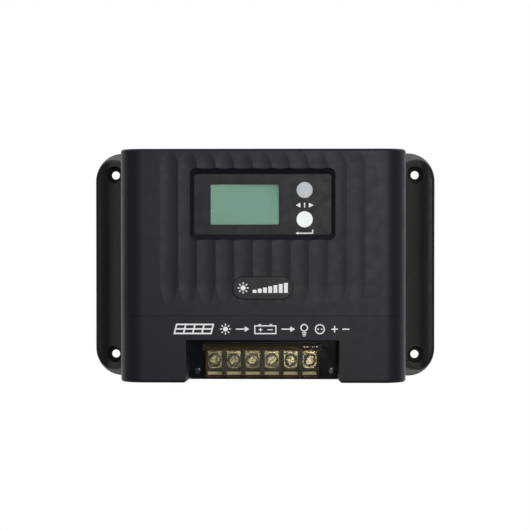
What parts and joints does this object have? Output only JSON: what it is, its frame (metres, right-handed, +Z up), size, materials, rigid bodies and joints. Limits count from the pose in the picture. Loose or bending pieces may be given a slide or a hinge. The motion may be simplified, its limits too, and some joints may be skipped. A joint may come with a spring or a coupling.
{
  "type": "solar charge controller",
  "caption": "Wall-mount solar charge controller: finned metal base, fluted black cover, recessed display with push buttons, screw terminals under a hinged amber lid.",
  "frame": {"origin": "centre of the four wall-mounting holes, on the wall plane", "axes": "+X to the right as seen from the front, +Y into the wall, +Z up"},
  "size_m": [0.232, 0.063, 0.153],
  "materials": {
    "powder_coated_aluminium": "satin powder coat, black",
    "cover_plastic": "fine textured, black",
    "badge_plastic": "smooth satin, black",
    "panel_plastic": "fine matte, black",
    "gasket_rubber": "matte, black",
    "window_acrylic": "clear, polished",
    "lcd_glass": "grey-green polariser",
    "light_guide": "translucent white",
    "tin_steel": "tinned",
    "board_laminate": "green solder mask",
    "chip_black": "moulded epoxy",
    "button_grey": "satin, light grey",
    "button_white": "satin, white",
    "plunger_plastic": "satin",
    "zinc_screw": "bright zinc",
    "black_screw": "black oxide",
    "header_plastic": "natural nylon",
    "ribbon_grey": "PVC ribbon",
    "insulator_film": "thin polyester film",
    "bare_aluminium": "milled",
    "silicone_pad": "soft silicone",
    "ferrite": "coated powder core",
    "copper": "enamelled copper",
    "capacitor_sleeve": "shrink sleeve",
    "film_case": "moulded case",
    "ceramic": "ceramic",
    "fuse_amber": "translucent",
    "block_plastic": "glass filled nylon, black",
    "nickel_plate": "nickel plated brass",
    "nickel_screw": "nickel plated steel",
    "amber_polycarbonate": "transparent amber"
  },
  "bodies": {
    "root": {"heatsink_base": "powder_coated_aluminium", "front_cover": "cover_plastic", "badge_plate": "badge_plastic", "display_panel": "panel_plastic", "lcd_gasket": "gasket_rubber", "lcd_window": "window_acrylic", "lcd_frame": "tin_steel", "lcd_glass": "lcd_glass", "lcd_backlight": "light_guide", "display_board": "board_laminate", "display_controller": "chip_black", "display_board_screws": "zinc_screw", "tact_switch_bodies": "chip_black", "display_header": "header_plastic", "main_header": "header_plastic", "ribbon_cable": "ribbon_grey", "main_board": "board_laminate", "board_screws": "zinc_screw", "insulating_sheet": "insulator_film", "heat_spreader_bar": "bare_aluminium", "spreader_screws": "zinc_screw", "thermal_pad": "silicone_pad", "power_mosfets": "chip_black", "mosfet_screws": "zinc_screw", "inductor_cores": "ferrite", "inductor_windings": "copper", "bulk_capacitors": "capacitor_sleeve", "film_capacitors": "film_case", "current_shunt": "copper", "fuse_holders": "chip_black", "blade_fuses": "fuse_amber", "microcontroller": "chip_black", "driver_chips": "chip_black", "tvs_diodes": "chip_black", "chip_capacitors": "ceramic", "copper_busbars": "copper", "temperature_sensor": "chip_black", "terminal_block": "block_plastic", "terminal_plates": "nickel_plate", "bay_screws": "black_screw", "cover_screws": "black_screw"},
    "select_key": {"select_button": "button_grey", "select_plunger": "plunger_plastic"},
    "enter_key": {"enter_button": "button_white", "enter_plunger": "plunger_plastic"},
    "lid": {"terminal_lid": "amber_polycarbonate"},
    "clamp_1": {"clamp_washer_1": "nickel_plate"},
    "screw_1": {"terminal_screw_1": "nickel_screw"},
    "clamp_2": {"clamp_washer_2": "nickel_plate"},
    "screw_2": {"terminal_screw_2": "nickel_screw"},
    "clamp_3": {"clamp_washer_3": "nickel_plate"},
    "screw_3": {"terminal_screw_3": "nickel_screw"},
    "clamp_4": {"clamp_washer_4": "nickel_plate"},
    "screw_4": {"terminal_screw_4": "nickel_screw"},
    "clamp_5": {"clamp_washer_5": "nickel_plate"},
    "screw_5": {"terminal_screw_5": "nickel_screw"},
    "clamp_6": {"clamp_washer_6": "nickel_plate"},
    "screw_6": {"terminal_screw_6": "nickel_screw"}
  },
  "joints": [
    {"name": "select_press", "type": "slide", "parent": "root", "child": "select_key", "axis": [0, 1, 0], "range_m": [0, 0.0005], "stiffness_N_per_m": 3000},
    {"name": "enter_press", "type": "slide", "parent": "root", "child": "enter_key", "axis": [0, 1, 0], "range_m": [0, 0.0005], "stiffness_N_per_m": 3000},
    {"name": "lid_hinge", "type": "hinge", "parent": "root", "child": "lid", "pos_m": [-0.001, -0.038, -0.0543], "axis": [-1, 0, 0], "range_deg": [0, 95]},
    {"name": "clamp_1_lift", "type": "slide", "parent": "root", "child": "clamp_1", "axis": [0, -1, 0], "range_m": [0, 0.0014]},
    {"name": "screw_1_turn", "type": "hinge", "parent": "clamp_1", "child": "screw_1", "pos_m": [-0.03275, -0.033, -0.0633], "axis": [0, -1, 0], "range_deg": [0, 722]},
    {"name": "clamp_2_lift", "type": "slide", "parent": "root", "child": "clamp_2", "axis": [0, -1, 0], "range_m": [0, 0.0014]},
    {"name": "screw_2_turn", "type": "hinge", "parent": "clamp_2", "child": "screw_2", "pos_m": [-0.02005, -0.033, -0.0633], "axis": [0, -1, 0], "range_deg": [0, 722]},
    {"name": "clamp_3_lift", "type": "slide", "parent": "root", "child": "clamp_3", "axis": [0, -1, 0], "range_m": [0, 0.0014]},
    {"name": "screw_3_turn", "type": "hinge", "parent": "clamp_3", "child": "screw_3", "pos_m": [-0.00735, -0.033, -0.0633], "axis": [0, -1, 0], "range_deg": [0, 722]},
    {"name": "clamp_4_lift", "type": "slide", "parent": "root", "child": "clamp_4", "axis": [0, -1, 0], "range_m": [0, 0.0014]},
    {"name": "screw_4_turn", "type": "hinge", "parent": "clamp_4", "child": "screw_4", "pos_m": [0.00535, -0.033, -0.0633], "axis": [0, -1, 0], "range_deg": [0, 722]},
    {"name": "clamp_5_lift", "type": "slide", "parent": "root", "child": "clamp_5", "axis": [0, -1, 0], "range_m": [0, 0.0014]},
    {"name": "screw_5_turn", "type": "hinge", "parent": "clamp_5", "child": "screw_5", "pos_m": [0.01805, -0.033, -0.0633], "axis": [0, -1, 0], "range_deg": [0, 722]},
    {"name": "clamp_6_lift", "type": "slide", "parent": "root", "child": "clamp_6", "axis": [0, -1, 0], "range_m": [0, 0.0014]},
    {"name": "screw_6_turn", "type": "hinge", "parent": "clamp_6", "child": "screw_6", "pos_m": [0.03075, -0.033, -0.0633], "axis": [0, -1, 0], "range_deg": [0, 722]}
  ],
  "couplings": [
    {"joint": "screw_1_turn", "follows": "clamp_1_lift", "rad_per_m": 8976},
    {"joint": "screw_2_turn", "follows": "clamp_2_lift", "rad_per_m": 8976},
    {"joint": "screw_3_turn", "follows": "clamp_3_lift", "rad_per_m": 8976},
    {"joint": "screw_4_turn", "follows": "clamp_4_lift", "rad_per_m": 8976},
    {"joint": "screw_5_turn", "follows": "clamp_5_lift", "rad_per_m": 8976},
    {"joint": "screw_6_turn", "follows": "clamp_6_lift", "rad_per_m": 8976}
  ]
}
